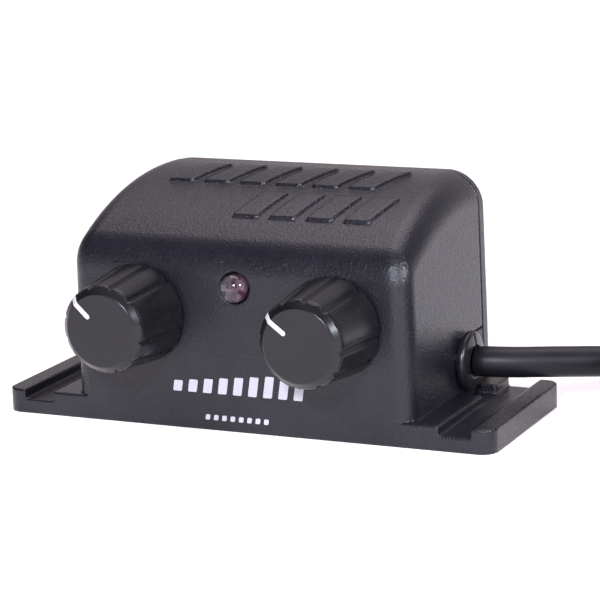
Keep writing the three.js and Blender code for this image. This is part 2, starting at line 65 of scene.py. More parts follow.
def make_camera():
    """A long lens, above and to the right of the unit, as tilted as the picture."""
    turn, rise, roll = (math.radians(a) for a in (CAMERA_TURN, CAMERA_RISE, CAMERA_ROLL))
    across = Vector((math.cos(turn), math.sin(turn), 0))
    upward = Vector((-math.sin(turn) * math.sin(rise), math.cos(turn) * math.sin(rise),
                     math.cos(rise)))
    right = across * math.cos(roll) - upward * math.sin(roll)
    up = across * math.sin(roll) + upward * math.cos(roll)
    back = right.cross(up)
    data = bpy.data.cameras.new("camera")
    data.sensor_width = SENSOR_WIDTH
    data.lens = FOCAL_LENGTH
    data.clip_end = 20
    camera = bpy.data.objects.new("camera", data)
    rows = [(right[k], up[k], back[k], CAMERA_PLACE[k]) for k in range(3)]
    camera.matrix_world = Matrix((*rows, (0, 0, 0, 1)))
    bpy.context.scene.collection.objects.link(camera)
    bpy.context.scene.camera = camera


make_camera()

# ---- mesh building ----


def add_mesh(name, points, faces, normals=None):
    """A smooth mesh object from points in metres and faces, with its own normals if given."""
    mesh = bpy.data.meshes.new(name)
    mesh.from_pydata([tuple(p) for p in points], [], [tuple(f) for f in faces])
    mesh.validate()
    mesh.shade_smooth()
    if normals is not None:
        mesh.normals_split_custom_set_from_vertices([tuple(n) for n in normals])
    piece = bpy.data.objects.new(name, mesh)
    bpy.context.scene.collection.objects.link(piece)
    return piece


def smooth_min(a, b, k):
    """The lesser of two distances, with a fillet of about k where they meet."""
    h = np.maximum(k - np.abs(a - b), 0) / k
    return np.minimum(a, b) - h * h * k / 4


def smooth_max(a, b, k):
    """The greater of two distances, with a fillet of about k where they meet."""
    return -smooth_min(-a, -b, k)


def gradient(field, p, step):
    """Unit direction in which the field grows fastest, and how fast it grows."""
    slopes = []
    for axis in range(3):
        shift = np.zeros(3)
        shift[axis] = step
        slopes.append(field(*(p + shift).T) - field(*(p - shift).T))
    g = np.stack(slopes, 1) / (2 * step)
    size = np.linalg.norm(g, axis=1, keepdims=True)
    return g / np.maximum(size, 1e-9), np.maximum(size[:, 0], 0.3)


def skin(name, field, low, high, cell, keep=1.0):
    """The closed surface where field(x, y, z), a distance in millimetres, is zero.

    One point for each cell of the grid that the surface crosses, moved onto the surface, with
    four-sided faces between neighbours. keep is the share of the triangles that stays.
    """
    low = np.array(low, float)
    counts = np.ceil((np.array(high, float) - low) / cell).astype(int) + 1
    axes = [low[k] + cell * np.arange(counts[k]) for k in range(3)]
    x, y, z = np.meshgrid(*axes, indexing="ij", sparse=True)
    value = np.broadcast_to(field(x, y, z), counts)
    inside = value < 0
    corners = [(i, j, k) for i in (0, 1) for j in (0, 1) for k in (0, 1)]
    cells = tuple(counts - 1)
    total = np.zeros(cells, np.int8)
    for i, j, k in corners:
        total += inside[i:i + cells[0], j:j + cells[1], k:k + cells[2]]
    crossed = (total > 0) & (total < 8)
    number = np.full(cells, -1)
    number[crossed] = np.arange(crossed.sum())
    where = np.argwhere(crossed)
    points = low + cell * (where + 0.5)
    for _ in range(6):
        direction, size = gradient(field, points, cell * 0.1)
        move = np.clip(field(*points.T) / size, -cell * 0.5, cell * 0.5)
        points = points - direction * move[:, None]
    reach = low + cell * where
    points = np.clip(points, reach - cell * 0.1, reach + cell * 1.1)
    faces = []
    for axis in range(3):
        u, v = [k for k in range(3) if k != axis]
        if axis == 1:
            u, v = v, u
        ahead = [slice(None)] * 3
        behind = [slice(None)] * 3
        ahead[axis] = slice(1, None)
        behind[axis] = slice(None, -1)
        change = inside[tuple(behind)].astype(int) - inside[tuple(ahead)].astype(int)
        spot = np.argwhere(change != 0)
        spot = spot[(spot[:, u] > 0) & (spot[:, v] > 0)]
        spot = spot[(spot[:, u] < cells[u]) & (spot[:, v] < cells[v])]
        sign = change[tuple(spot.T)]
        ring = []
        for du, dv in ((-1, -1), (0, -1), (0, 0), (-1, 0)):
            at = spot.copy()
            at[:, u] += du
            at[:, v] += dv
            ring.append(number[tuple(at.T)])
        ring = np.stack(ring, 1)
        ring[sign < 0] = ring[sign < 0][:, ::-1]
        faces.append(ring)
    piece = add_mesh(name, points * MM + ORIGIN, np.concatenate(faces).tolist())
    if keep < 1:
        thin = piece.modifiers.new("thin", "DECIMATE")
        thin.ratio = keep
        apply_modifiers(piece)
    settle(piece, field, cell, keep < 1)
    return piece


def apply_modifiers(piece):
    """Puts the piece's modified mesh in place of its mesh."""
    depsgraph = bpy.context.evaluated_depsgraph_get()
    mesh = bpy.data.meshes.new_from_object(piece.evaluated_get(depsgraph))
    piece.modifiers.clear()
    piece.data = mesh


def settle(piece, field, cell, thinned):
    """Moves the points onto the exact surface and sets the shading normals.

    They come from the field, or on a thinned mesh from its faces, so that large ones stay flat.
    """
    mesh = piece.data
    flat = np.zeros(len(mesh.vertices) * 3, np.float32)
    mesh.vertices.foreach_get("co", flat)
    points = (flat.reshape(-1, 3).astype(float) - ORIGIN) / MM
    direction, size = gradient(field, points, cell * 0.2)
    move = np.clip(field(*points.T) / size, -cell * 0.3, cell * 0.3)
    points = points - direction * move[:, None]
    mesh.vertices.foreach_set("co", (points * MM + ORIGIN).astype(np.float32).ravel())
    if thinned:
        mesh.calc_loop_triangles()
        corners = np.zeros(len(mesh.loop_triangles) * 3, np.int32)
        mesh.loop_triangles.foreach_get("vertices", corners)
        corners = corners.reshape(-1, 3)
        a, b, c = (points[corners[:, k]] for k in range(3))
        normal = np.cross(b - a, c - a)
        direction = np.zeros_like(points)
        for k in range(3):
            np.add.at(direction, corners[:, k], normal)
        direction /= np.maximum(np.linalg.norm(direction, axis=1, keepdims=True), 1e-12)
    else:
        direction, _ = gradient(field, points, cell * 0.25)
    mesh.shade_smooth()
    mesh.normals_split_custom_set_from_vertices([tuple(n) for n in direction])
    mesh.update()


def lathe(name, profile, centre, axis, segments):
    """A surface of revolution round axis through centre.

    The profile lists (radius, distance along axis) in mm. An end on the axis is one point, and a
    profile that ends where it starts makes a ring.
    """
    axis = Vector(axis).normalized()
    side = axis.orthogonal().normalized()
    other = axis.cross(side)
    points, rows = [], []
    for radius, along in profile:
        base = Vector(centre) + axis * along * MM
        if radius < 1e-6:
            rows.append([len(points)])
            points.append(base)
            continue
        rows.append(list(range(len(points), len(points) + segments)))
        for i in range(segments):
            angle = 2 * math.pi * i / segments
            points.append(base + (side * math.cos(angle) + other * math.sin(angle)) * radius * MM)
    faces = []
    if profile[0] == profile[-1]:
        rows[-1] = rows[0]
        points = points[:-segments]
    for a, b in zip(rows, rows[1:]):
        for i in range(segments):
            j = (i + 1) % segments
            if len(a) == 1:
                faces.append((a[0], b[j], b[i]))
            elif len(b) == 1:
                faces.append((a[i], a[j], b[0]))
            else:
                faces.append((a[i], a[j], b[j], b[i]))
    return add_mesh(name, points, faces)


def rounded(profile, radius, steps=4):
    """The profile with each inner corner replaced by an arc of about that radius."""
    out = [profile[0]]
    for before, corner, after in zip(profile, profile[1:], profile[2:]):
        a, c, b = (np.array(p, float) for p in (before, corner, after))
        r = min(radius, np.linalg.norm(a - c) * 0.45, np.linalg.norm(b - c) * 0.45)
        start = c + (a - c) / np.linalg.norm(a - c) * r
        end = c + (b - c) / np.linalg.norm(b - c) * r
        for i in range(steps + 1):
            t = i / steps
            out.append(tuple((1 - t) ** 2 * start + 2 * t * (1 - t) * c + t * t * end))
    return out + [profile[-1]]


# ---- materials ----

WAVINESS = 5e-7  # height in metres of the slow waves in moulded plastic


def material(name):
    """A new material with its nodes, links, shader and the object's coordinates."""
    made = bpy.data.materials.new(name)
    made.use_nodes = True
    nodes, links = made.node_tree.nodes, made.node_tree.links
    shader = nodes["Principled BSDF"]
    where = nodes.new("ShaderNodeTexCoord").outputs["Object"]
    return made, nodes, links, shader, where


def noise(nodes, links, where, size, detail=2.0, roughness=0.5, stretch=None):
    """Noise whose blotches are about size metres across; stretch scales them along x, y, z."""
    texture = nodes.new("ShaderNodeTexNoise")
    texture.inputs["Scale"].default_value = 1 / size
    texture.inputs["Detail"].default_value = detail
    texture.inputs["Roughness"].default_value = roughness
    if stretch:
        mapping = nodes.new("ShaderNodeMapping")
        mapping.inputs["Scale"].default_value = stretch
        links.new(where, mapping.inputs["Vector"])
        where = mapping.outputs["Vector"]
    links.new(where, texture.inputs["Vector"])
    return texture.outputs["Fac"]


def spread(nodes, links, value, low, high, start=0.3, end=0.7):
    """A number from low to high as value goes from start to end."""
    node = nodes.new("ShaderNodeMapRange")
    for key, number in (("From Min", start), ("From Max", end), ("To Min", low), ("To Max", high)):
        node.inputs[key].default_value = number
    links.new(value, node.inputs["Value"])
    return node.outputs["Result"]


def blended(nodes, links, value, first, second, start=0.3, end=0.7):
    """A colour from first to second as value goes from start to end."""
    ramp = nodes.new("ShaderNodeValToRGB")
    ramp.color_ramp.elements[0].position = start
    ramp.color_ramp.elements[0].color = (*first, 1)
    ramp.color_ramp.elements[1].position = end
    ramp.color_ramp.elements[1].color = (*second, 1)
    links.new(value, ramp.inputs["Fac"])
    return ramp.outputs["Color"]


def bumped(nodes, links, shader, layers):
    """Relief from (height value, depth in metres) pairs, one bump on the other."""
    normal = None
    for height, depth in layers:
        bump = nodes.new("ShaderNodeBump")
        bump.inputs["Strength"].default_value = 1
        bump.inputs["Distance"].default_value = depth
        links.new(height, bump.inputs["Height"])
        if normal:
            links.new(normal, bump.inputs["Normal"])
        normal = bump.outputs["Normal"]
    links.new(normal, shader.inputs["Normal"])


def greatest(nodes, links, *values):
    """The greatest of some numbers."""
    result = values[0]
    for value in values[1:]:
        node = nodes.new("ShaderNodeMath")
        node.operation = "MAXIMUM"
        links.new(result, node.inputs[0])
        links.new(value, node.inputs[1])
        result = node.outputs[0]
    return result


def moulded(name, dark, light, rough, grain, depth, ior=1.46, stretch=None, sparkle=0.0):
    """Moulded plastic or rubber: fine grain, slow unevenness of tone and gloss.

    grain is its size and depth its height in metres. sparkle is how much the gloss differs from
    grain to grain.
    """
    made, nodes, links, shader, where = material(name)
    fine = noise(nodes, links, where, grain, 3, 0.6, stretch)
    slow = noise(nodes, links, where, 0.006, 3)
    links.new(blended(nodes, links, slow, dark, light), shader.inputs["Base Color"])
    if sparkle:
        gloss = spread(nodes, links, fine, rough + sparkle / 2, rough - sparkle, 0.40, 0.66)
    else:
        gloss = spread(nodes, links, slow, rough * 0.93, rough * 1.07)
    links.new(gloss, shader.inputs["Roughness"])
    shader.inputs["IOR"].default_value = ior
    wave = noise(nodes, links, where, 0.0035, 2)
    bumped(nodes, links, shader, [(fine, depth), (wave, WAVINESS)])
    return made


def brushed(name, dark, light, rough, stretch, grain=0.0004, depth=2e-6):
    """Metal with fine marks drawn out along one way."""
    made, nodes, links, shader, where = material(name)
    marks = noise(nodes, links, where, grain, 4, 0.6, stretch)
    slow = noise(nodes, links, where, 0.004, 3)
    links.new(blended(nodes, links, slow, dark, light), shader.inputs["Base Color"])
    links.new(spread(nodes, links, marks, rough * 0.75, rough * 1.25), shader.inputs["Roughness"])
    shader.inputs["Metallic"].default_value = 1
    bumped(nodes, links, shader, [(marks, depth)])
    return made


CASE = moulded("case_grain", (0.0066, 0.0060, 0.0098), (0.0096, 0.0088, 0.0130), 0.31,
               0.00040, 1.0e-4, ior=1.42, sparkle=0.07)
KNOB = moulded("knob_satin", (0.0055, 0.0053, 0.0068), (0.0075, 0.0072, 0.0088), 0.27,
               0.00012, 1.2e-6, ior=1.40)
RUBBER = moulded("grommet_rubber", (0.0055, 0.0055, 0.0080), (0.0085, 0.0085, 0.0110), 0.30,
                 0.0003, 3e-6)
JACKET = moulded("cable_jacket", (0.0060, 0.0058, 0.0080), (0.0085, 0.0082, 0.0110), 0.43,
                 0.00035, 2.5e-6, ior=1.33, stretch=(0.4, 1, 1))
INK = moulded("white_ink", (0.455, 0.445, 0.495), (0.475, 0.465, 0.515), 0.5, 0.0002, 2e-6)
POINTER = moulded("pointer_paint", (0.54, 0.51, 0.50), (0.57, 0.54, 0.53), 0.4, 0.0002, 2e-6)
EPOXY = moulded("black_epoxy", (0.018, 0.018, 0.018), (0.028, 0.027, 0.026), 0.45, 0.0001, 2e-6)
INSERT = moulded("insert_plastic", (0.022, 0.022, 0.024), (0.032, 0.031, 0.033), 0.4, 0.0002, 2e-6)
NYLON = moulded("tie_nylon", (0.016, 0.016, 0.018), (0.026, 0.025, 0.027), 0.38, 0.0003, 3e-6)
HEADER = moulded("header_plastic", (0.03, 0.14, 0.05), (0.04, 0.17, 0.06), 0.45, 0.0002, 3e-6)
WAFER = moulded("track_wafer", (0.17, 0.09, 0.04), (0.22, 0.12, 0.055), 0.6, 0.0002, 4e-6)
SLEEVE = moulded("capacitor_sleeve", (0.012, 0.02, 0.07), (0.018, 0.028, 0.09), 0.3, 0.0008, 4e-6)
RED_WIRE = moulded("red_wire", (0.42, 0.02, 0.02), (0.5, 0.03, 0.025), 0.4, 0.0003, 2e-6)
DARK_WIRE = moulded("dark_wire", (0.014, 0.014, 0.015), (0.02, 0.02, 0.02), 0.4, 0.0003, 2e-6)
WHITE_WIRE = moulded("white_wire", (0.7, 0.69, 0.66), (0.78, 0.77, 0.74), 0.4, 0.0003, 2e-6)
GREEN_WIRE = moulded("green_wire", (0.02, 0.22, 0.06), (0.03, 0.27, 0.08), 0.4, 0.0003, 2e-6)
ZINC = brushed("zinc_plate", (0.50, 0.50, 0.52), (0.60, 0.60, 0.61), 0.32, (1, 1, 6))
STEEL = brushed("shaft_steel", (0.56, 0.56, 0.57), (0.66, 0.66, 0.66), 0.3, (1, 8, 1))
SHELL_METAL = brushed("connector_nickel", (0.52, 0.51, 0.49), (0.62, 0.61, 0.58), 0.24, (6, 1, 6))


def board_material():
    """Green solder mask with faint darker copper tracks in two directions."""
    made, nodes, links, shader, where = material("solder_mask")
    tracks = nodes.new("ShaderNodeTexBrick")
    tracks.inputs["Scale"].default_value = 220
    tracks.inputs["Mortar Size"].default_value = 0.03
    tracks.inputs["Color1"].default_value = (0.012, 0.085, 0.028, 1)
    tracks.inputs["Color2"].default_value = (0.018, 0.11, 0.036, 1)
    tracks.inputs["Mortar"].default_value = (0.03, 0.17, 0.06, 1)
    turn = nodes.new("ShaderNodeMapping")
    turn.inputs["Rotation"].default_value = (math.pi / 2, 0, 0)
    links.new(where, turn.inputs["Vector"])
    links.new(turn.outputs["Vector"], tracks.inputs["Vector"])
    links.new(tracks.outputs["Color"], shader.inputs["Base Color"])
    slow = noise(nodes, links, where, 0.004)
    links.new(spread(nodes, links, slow, 0.3, 0.42), shader.inputs["Roughness"])
    bumped(nodes, links, shader, [(tracks.outputs["Fac"], 2e-5)])
    return made


def lens_material():
    """Clear epoxy of the indicator, with painted shade and light across it: smoky and darker on the
    left, rosier and lighter on the right.
    """
    made, nodes, links, shader, where = material("clear_lens")
    facets = noise(nodes, links, where, 0.0011, 1, stretch=(1, 1, 0.6))
    split = nodes.new("ShaderNodeSeparateXYZ")
    links.new(where, split.inputs["Vector"])
    # Painted shade and light: the lens colour goes from darker on the left to rosier and lighter on
    # the right.
    across = spread(nodes, links, split.outputs["X"], 0.0, 1.0, -0.0012, 0.0024)
    rosy_painted_shading = blended(nodes, links, across, (0.21, 0.19, 0.21), (0.32, 0.18, 0.235), 0.2, 1.0)
    smoky_painted_shading = blended(nodes, links, across, (0.05, 0.035, 0.045), (0.12, 0.045, 0.07), 0.2, 1.0)
    mixed = nodes.new("ShaderNodeMix")
    mixed.data_type = "RGBA"
    links.new(spread(nodes, links, facets, 0.0, 1.0, 0.4, 0.55), mixed.inputs["Factor"])
    links.new(smoky_painted_shading, mixed.inputs["A"])
    links.new(rosy_painted_shading, mixed.inputs["B"])
    links.new(mixed.outputs["Result"], shader.inputs["Base Color"])
    shader.inputs["Transmission Weight"].default_value = 0.72
    shader.inputs["Roughness"].default_value = 0.05
    shader.inputs["IOR"].default_value = 1.52
    wave = noise(nodes, links, where, 0.0016, 1)
    bumped(nodes, links, shader, [(wave, 1.5e-5)])
    return made


BOARD = board_material()
LENS = lens_material()


def give(piece, chosen, body, replaces=()):
    """Material, body and replaced nodes of a new piece."""
    piece.data.materials.clear()
    piece.data.materials.append(chosen)
    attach(piece, body)
    if replaces:
        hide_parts(*replaces)
    return piece


# ---- cable: the lead, the coil out of view, the tail and the connector ----


def front_point(x, y, z):
    """A point in metres from millimetres, with y counted from the front face."""
    return Vector((x * MM, FRONT_Y + y * MM, z * MM))


CABLE_RADIUS = 2.55
LEAD_ROUTE = [
    (32.3, 23.1, 8.75), (34.3, 23.3, 8.75), (36.0, 23.75, 8.7), (38.0, 24.4, 8.65),
    (40.0, 25.2, 8.6), (42.2, 26.3, 8.55), (44.5, 27.5, 8.45), (48.0, 29.3, 8.3),
    (51.3, 31.0, 8.15), (54.0, 32.6, 7.8),
    (56.5, 34.1, 7.3), (59.0, 35.6, 6.7), (61.5, 37.2, 6.1), (64.0, 38.7, 5.5), (66.0, 40.0, 4.9),
    (68.3, 41.2, 4.4), (70.5, 42.3, 4.0), (74.0, 43.5, 3.65), (78.0, 44.3, 3.5), (83.0, 44.75, 3.5),
    (88.5, 44.75, 3.5),
]
COIL_CENTRE = (94.0, 14.0)
COIL_TURNS = [(30.5, 3.5), (25.4, 3.5), (25.4, 8.6), (30.5, 8.6), (30.5, 13.7), (25.4, 13.7)]
CHANGE_OF_TURN = 75  # degrees over which the cable eases from one turn into the next
COIL_END = [(12, 25.2, 14.1), (26, 24.4, 15.4), (44, 23.1, 17.6)]  # degrees, radius, height
TAIL_ROUTE = [(113.6, 24.4, 19.5), (114.9, 21.4, 20.8), (115.4, 18.6, 22.1), (115.5, 15.5, 22.8)]


def coil_route():
    """Five turns, clockwise from above, each (radius, height) easing into the next near its end."""

    def at(degree, radius, height):
        a = math.radians(degree)
        x, y = COIL_CENTRE
        return (x + radius * math.sin(a), y + radius * math.cos(a), height)

    points = []
    for turn, ((r0, z0), (r1, z1)) in enumerate(zip(COIL_TURNS, COIL_TURNS[1:])):
        for degree in range(0, 360, 5):
            if turn == 0 and degree == 0:
                degree = 1
            t = min(max((degree - 360 + CHANGE_OF_TURN) / CHANGE_OF_TURN, 0), 1)
            t = t * t * (3 - 2 * t)
            points.append(at(degree, r0 + (r1 - r0) * t, z0 + (z1 - z0) * t))
    return points + [at(0, *COIL_TURNS[-1])] + [at(*place) for place in COIL_END]


def smooth_path(points, step):
    """Points about step apart on the curve through the given ones."""
    p = np.array(points, float)
    p = np.vstack([2 * p[0] - p[1], p, 2 * p[-1] - p[-2]])
    out = []
    for a, b, c, d in zip(p, p[1:], p[2:], p[3:]):
        count = max(int(np.linalg.norm(c - b) / step), 1)
        for i in range(count):
            t = i / count
            out.append(0.5 * (2 * b + (c - a) * t + (2 * a - 5 * b + 4 * c - d) * t * t
                              + (3 * b - a - 3 * c + d) * t ** 3))
    return out + [p[-2]]


def frames_along(path):
    """Direction and two crossways at each point of the path, without twist."""
    p = np.array(path, float)
    ahead = np.gradient(p, axis=0)
    ahead /= np.linalg.norm(ahead, axis=1, keepdims=True)
    side = np.cross(ahead[0], (0, 0, 1.0))
    side /= np.linalg.norm(side)
    sides = []
    for t in ahead:
        side = side - t * np.dot(side, t)
        side /= np.linalg.norm(side)
        sides.append(side)
    return p, ahead, np.array(sides), np.cross(ahead, np.array(sides))


def tube(name, path, radius, around=28):
    """Closed round tube along the path, in metres, with rounded ends."""
    p, ahead, sides, ups = frames_along(path)
    rings = [(p[0], 0, radius * 0.7), (p[0] + ahead[0] * radius * 0.06, 0, radius * 0.94)]
    rings += [(q, i, radius) for i, q in enumerate(p)][1:-1]
    last = len(p) - 1
    rings += [(p[-1] - ahead[-1] * radius * 0.06, last, radius * 0.94), (p[-1], last, radius * 0.7)]
    points = [p[0]]
    for q, i, r in rings:
        for k in range(around):
            a = 2 * math.pi * k / around
            points.append(q + (sides[i] * math.cos(a) + ups[i] * math.sin(a)) * r)
    points.append(p[-1])
    faces = []
    for row in range(len(rings) - 1):
        for k in range(around):
            a, b = 1 + row * around + k, 1 + row * around + (k + 1) % around
            faces.append((a, b, b + around, a + around))
    end = 1 + (len(rings) - 1) * around
    for k in range(around):
        faces.append((0, 1 + (k + 1) % around, 1 + k))
        faces.append((len(points) - 1, end + k, end + (k + 1) % around))
    return add_mesh(name, points, faces)


PATH_STEP = 1.6
cable_route = smooth_path(LEAD_ROUTE + coil_route() + TAIL_ROUTE, PATH_STEP)
cable_path = [front_point(*p) for p in cable_route]
cable = tube("cable", [tuple(p) for p in cable_path], CABLE_RADIUS * MM)
give(cable, JACKET, "housing", ["cable_lead", "cable_coil", "cable_tail"])

CONNECTOR_X, CONNECTOR_Z, CONNECTOR_START = 115.5, 22.9, 14.7
CONNECTOR_FOOT = front_point(CONNECTOR_X, CONNECTOR_START, CONNECTOR_Z)


def connector_boot():
    """Tapered bend relief with eight ribs."""
    profile = [(0, 0), (2.8, 0), (3.1, 0.25)]
    ribs, first, pitch = 8, 0.9, 1.22
    for i in range(ribs):
        at = first + i * pitch
        r = 3.25 + 0.85 * i / (ribs - 1)
        profile += [(r, at), (r + 0.08, at + 0.25), (r + 0.08, at + 0.55), (r, at + 0.75),
                    (r - 0.45, at + 0.85), (r - 0.45, at + 1.1)]
    profile += [(4.1, 10.8), (4.2, 11.0), (4.2, 12.2), (4.0, 12.4), (0, 12.4)]
    return lathe("connector_boot_ribbed", rounded(profile, 0.12, 3), CONNECTOR_FOOT, (0, -1, 0), 64)


def connector_shell():
    """Turned metal shell with a neck for the coupling ring, open at the plug end."""
    profile = [(0, 12.7), (4.6, 12.7), (5.4, 13.6), (5.4, 19.2), (5.15, 19.5), (5.15, 30.4),
               (5.4, 30.7), (5.4, 34), (4.5, 34), (4.5, 25), (0, 25)]
    return lathe("connector_shell_turned", rounded(profile, 0.2, 3), CONNECTOR_FOOT, (0, -1, 0), 96)


def connector_ring():
    """Coupling ring with 36 straight knurls between two plain edges."""
    knurls, per_knurl, knurl_depth = 36, 6, 0.035
    profile = [(5.65, 20), (5.95, 20), (6.15, 20.2), (6.15, 21), (6.1, 21.2), (6.1, 28.8),
               (6.15, 29), (6.15, 29.8), (5.95, 30), (5.65, 30), (5.65, 20)]
    ring = lathe("connector_ring_knurled", profile, CONNECTOR_FOOT, (0, -1, 0), knurls * per_knurl)
    for vertex in ring.data.vertices:
        offset = vertex.co - CONNECTOR_FOOT
        across = Vector((offset.x, 0, offset.z))
        along = -offset.y / MM
        if 21.1 < along < 28.9 and across.length > 6.0 * MM:
            phase = math.atan2(across.z, across.x) * knurls
            across *= 1 - knurl_depth * (0.5 - 0.5 * math.cos(phase))
            vertex.co = CONNECTOR_FOOT + Vector((across.x, offset.y, across.z))
    return ring


def coil_tie():
    """Flat strap once round the bundle, with its square head on top."""
    bundle_radius = 28.0
    cx, cy = COIL_CENTRE[0], COIL_CENTRE[1] - bundle_radius
    half_y, low, high, corner = 6.35, 0.35, 16.95, 2.6
    loop = []
    for qy, qz, start in ((1, 1, 0), (-1, 1, 90), (-1, -1, 180), (1, -1, 270)):
        for i in range(9):
            a = math.radians(start + i * 11.25)
            middle = (low + high) / 2
            loop.append((cy + qy * (half_y - corner) + corner * math.cos(a),
                         middle + qz * ((high - low) / 2 - corner) + corner * math.sin(a)))
    count = len(loop)
    section = [(-2.9, 0.15), (-2.75, 0.28), (2.75, 0.28), (2.9, 0.15), (2.9, -0.15), (2.75, -0.28),
               (-2.75, -0.28), (-2.9, -0.15)]
    points, faces = [], []
    for i, (y, z) in enumerate(loop):
        before, after = loop[i - 1], loop[(i + 1) % count]
        ty, tz = after[0] - before[0], after[1] - before[1]
        size = math.hypot(ty, tz)
        ny, nz = tz / size, -ty / size
        for sx, out in section:
            points.append(front_point(cx + sx, y + ny * out, z + nz * out))
    n = len(section)
    for i in range(count):
        here, there = i * n, (i + 1) % count * n
        for k in range(n):
            j = (k + 1) % n
            faces.append((here + k, here + j, there + j, there + k))
    return add_mesh("coil_tie_strap", points, faces)


boot = give(connector_boot(), RUBBER, "housing", ["connector_boot"])
shell = give(connector_shell(), SHELL_METAL, "housing", ["connector_shell"])
ring = give(connector_ring(), SHELL_METAL, "housing", ["connector_ring"])
tie = give(coil_tie(), NYLON, "housing", ["coil_tie"])

# ---- the case and the back cover ----

# Millimetres, with y counted from the front face.
HALF, DRAFT = 30.6, 0.0157
TOP_RADIUS, TOP_Y, TOP_Z = 50.4, 29.0, -11.5
CORNER_FRONT, CORNER_GROWTH = 3.7, 0.0696
FRONT_ROUND, BACK_ROUND = 3.2, 0.3
CASE_BACK, COVER_FRONT, COVER_BACK = 31.7, 32.0, 34.5
WALL = 2.0
FLANGE_HALF, FLANGE_DEPTH, FLANGE_CORNER = 43.95, 32.2, 2.5
RIM, CHANNEL_FLOOR, CHANNEL_IN, CHANNEL_OUT = 4.0, 2.4, 34.8, 40.3
LEDGE_START, LEDGE_END = 19.4, 26.2
KNOB_X, KNOB_Z, LED_Z = 17.4, 19.0, 24.1
SHAFT_HOLE, LED_HOLE, HOLE_END = 4.2, 2.58, 5
GLAND_Y, GLAND_Z = 23.1, 8.75
SLOT_RADIUS, SLOT_INNER = 3.75, 27
SCREWS = [(-24.3, 30.2), (24.3, 30.2), (-15, 6.2), (15, 6.2)]
POST_RADIUS, POST_FRONT, BORE_RADIUS, BORE_DEPTH = 3.1, 18, 1.6, 10
BAR_ROWS = [
    dict(y0=17.5, y1=26.5, x0=-20.0, count=6, lean=3.2),
    dict(y0=7.5, y1=14.5, x0=-3.4, count=4, lean=2.6),
]
BAR_PITCH, BAR_WIDTH, BAR_HEIGHT, BAR_FOOT = 6.6, 4.2, 0.55, 30.0


def round_max(a, b, r):
    """The greater of two distances, with the edge between them rounded to radius r."""
    outside = np.hypot(np.maximum(a + r, 0), np.maximum(b + r, 0))
    return np.minimum(np.maximum(a + r, b + r), 0) + outside - r


def box_field(x, y, z, low, high, r=0.0):
    """Distance to a box with edges rounded to radius r."""
    centre = [(a + b) / 2 for a, b in zip(low, high)]
    half = [(b - a) / 2 - r for a, b in zip(low, high)]
    q = [np.abs(v - c) - h for v, c, h in zip((x, y, z), centre, half)]
    outside = np.sqrt(sum(np.maximum(v, 0) ** 2 for v in q))
    return outside + np.minimum(np.maximum(np.maximum(q[0], q[1]), q[2]), 0) - r


def body_sides(x, y, z):
    """Distance to the endless outline of the body: two drafted sides under the curved top."""
    side = np.abs(x) - (HALF - DRAFT * z)
    top = np.hypot(y - TOP_Y, z - TOP_Z) - TOP_RADIUS
    corner = CORNER_FRONT + CORNER_GROWTH * np.clip(y, 0, COVER_BACK)
    outside = np.hypot(np.maximum(side + corner, 0), np.maximum(top + corner, 0))
    return np.minimum(np.maximum(side, top) + corner, 0) + outside - corner


def bars_field(x, y, z):
    """Raised slanted bars that follow the curved top."""
    top = np.hypot(y - TOP_Y, z - TOP_Z) - TOP_RADIUS - BAR_HEIGHT
    outline = 1e3
    for row in BAR_ROWS:
        slope = row["lean"] / (row["y1"] - row["y0"])
        for i in range(row["count"]):
            middle = row["x0"] + i * BAR_PITCH + BAR_WIDTH / 2
            offset = x - middle - (y - row["y0"]) * slope
            across = np.abs(offset) / math.hypot(1, slope) - BAR_WIDTH / 2
            along = np.abs(y - (row["y0"] + row["y1"]) / 2) - (row["y1"] - row["y0"]) / 2
            outline = np.minimum(outline, round_max(across, along, 0.3))
    return np.maximum(round_max(outline, top, 0.22), BAR_FOOT - z)


def flange_field(x, y, z):
    """Base plate with a strap channel along each side, and a notch under the grommet."""
    qx = np.abs(x) - (FLANGE_HALF - FLANGE_CORNER)
    qy = np.abs(y - FLANGE_DEPTH / 2) - (FLANGE_DEPTH / 2 - FLANGE_CORNER)
    plan = np.hypot(np.maximum(qx, 0), np.maximum(qy, 0))
    plan = plan + np.minimum(np.maximum(qx, qy), 0) - FLANGE_CORNER
    plate = np.maximum(round_max(plan, z - RIM, 0.2), -z)
    middle, reach = (CHANNEL_IN + CHANNEL_OUT) / 2, (CHANNEL_OUT - CHANNEL_IN) / 2
    channel = smooth_max(np.abs(np.abs(x) - middle) - reach, CHANNEL_FLOOR - z, 0.5)
    ledge = box_field(x, y, z, (HALF - 3, LEDGE_START, CHANNEL_FLOOR),
                      (CHANNEL_IN + 2, LEDGE_END, RIM + 4))
    plate = smooth_max(smooth_max(plate, -channel, 0.3), -ledge, 0.3)
    cover_room = np.maximum(np.abs(x) - HALF - 0.3, CASE_BACK - y)
    return np.maximum(plate, -cover_room)


